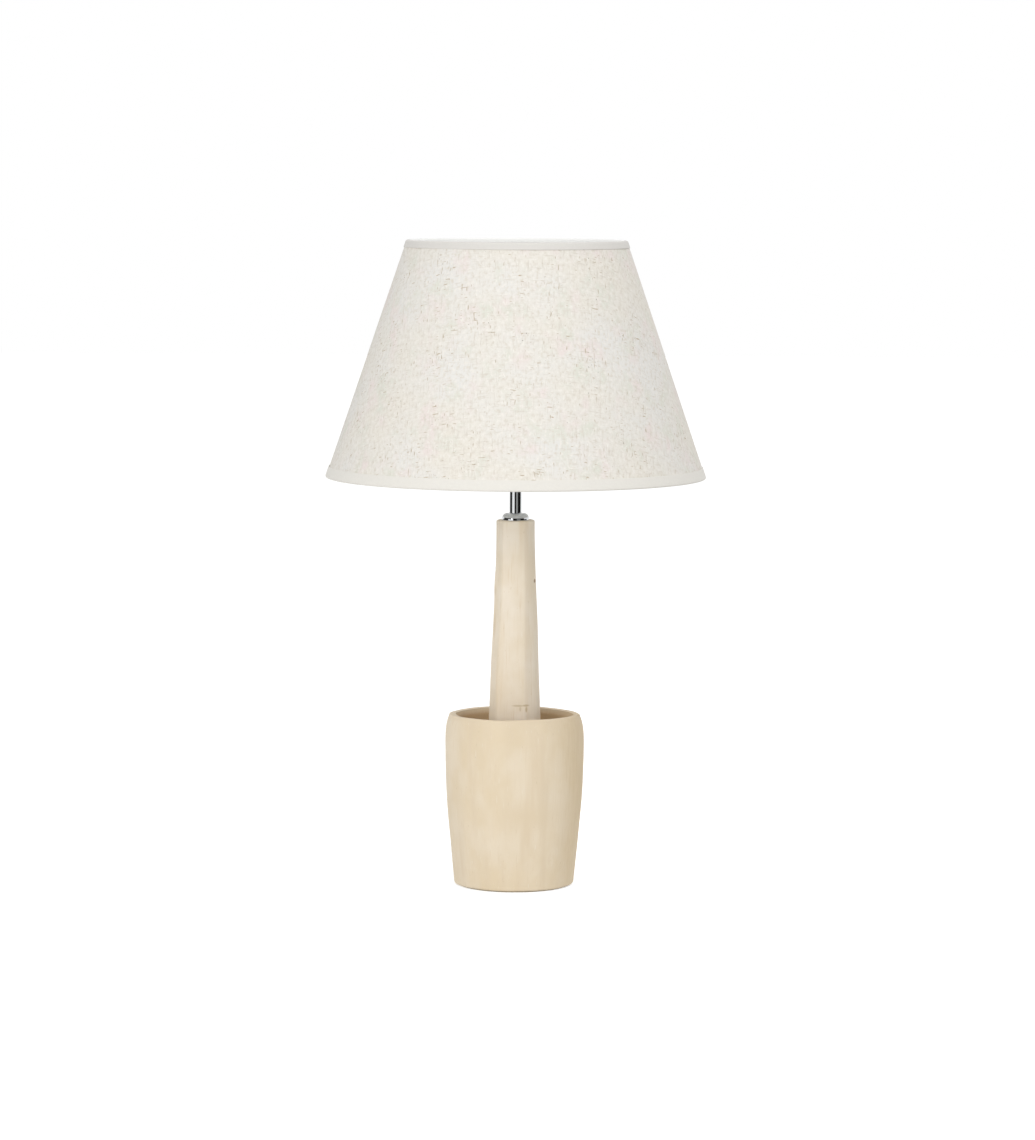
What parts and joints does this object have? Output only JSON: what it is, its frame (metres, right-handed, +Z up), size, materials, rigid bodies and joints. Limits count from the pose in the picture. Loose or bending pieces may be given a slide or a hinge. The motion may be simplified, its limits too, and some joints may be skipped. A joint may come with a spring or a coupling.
{
  "type": "table lamp",
  "caption": "Table lamp: a pale wooden column standing in a hollow wooden cup foot, with a chromed neck and a tapered linen shade on a screw lampholder.",
  "frame": {"origin": "centre of the felt under the foot, on the surface that the lamp stands on", "axes": "+Z up along the column; -Y is the front; the cord inlet faces +Y"},
  "size_m": [0.3053, 0.3054, 0.5181],
  "materials": {
    "pale_wood": "hand-cut pale hardwood, satin lacquer",
    "felt": "beige wool felt",
    "clear_bushing": "moulded, semi-matte",
    "cast_iron": "as cast, dipped black",
    "zinc_steel": "zinc plated",
    "chrome": "polished chrome plate",
    "white_thermoplastic": "moulded, semi-gloss",
    "glazed_steatite": "glazed",
    "brass": "bare stamped brass",
    "nickelled_brass": "nickel plated",
    "solder": "tinned, dull",
    "black_glass": "black moulded insulator glass",
    "frosted_glass": "acid frosted inside",
    "clear_glass": "clear",
    "nickel_wire": "drawn wire",
    "tungsten": "drawn wire, dull",
    "linen": "natural slub linen, laminated",
    "linen_tape": "rolled linen edge",
    "white_laminate": "matt white shade laminate",
    "white_wire": "white powder coat"
  },
  "bodies": {
    "base": {"pot": "pale_wood", "felt_pad": "felt", "cord_bushing": "clear_bushing", "ballast_disc": "cast_iron", "base_washer": "zinc_steel", "lock_washer": "zinc_steel", "base_nut": "zinc_steel", "stem_tube": "chrome", "column": "pale_wood", "neck_cap": "chrome", "holder_nut": "zinc_steel", "holder_cap": "white_thermoplastic", "holder_grub_screw": "zinc_steel", "contact_block": "glazed_steatite", "terminal_screws": "brass", "centre_contact": "brass", "screw_shell": "nickelled_brass", "holder_skirt": "white_thermoplastic", "lower_shade_ring": "white_thermoplastic", "upper_shade_ring": "white_thermoplastic"},
    "shade": {"shade_cover": "linen", "shade_liner": "white_laminate", "top_ring": "white_wire", "bottom_ring": "white_wire", "top_hem": "linen_tape", "bottom_hem": "linen_tape", "fitter_ring": "white_wire", "spider_arms": "white_wire"},
    "bulb_carriage": {"bulb_contact": "solder"},
    "bulb": {"bulb_insulator": "black_glass", "bulb_cap": "nickelled_brass", "bulb_glass": "frosted_glass", "bulb_stem": "clear_glass", "lead_wires": "nickel_wire", "filament": "tungsten"}
  },
  "joints": [
    {"name": "shade_turn", "type": "hinge", "parent": "base", "child": "shade", "pos_m": [0, 0, 0.3605], "axis": [0, 0, 1], "continuous": true},
    {"name": "bulb_travel", "type": "slide", "parent": "base", "child": "bulb_carriage", "axis": [0, 0, 1], "range_m": [0, 0.01819]},
    {"name": "bulb_turn", "type": "hinge", "parent": "bulb_carriage", "child": "bulb", "pos_m": [0, 0, 0.36185], "axis": [0, 0, 1], "range_deg": [0, 1800]}
  ],
  "couplings": [
    {"joint": "bulb_travel", "follows": "bulb_turn", "m_per_rad": 0.00057757}
  ]
}
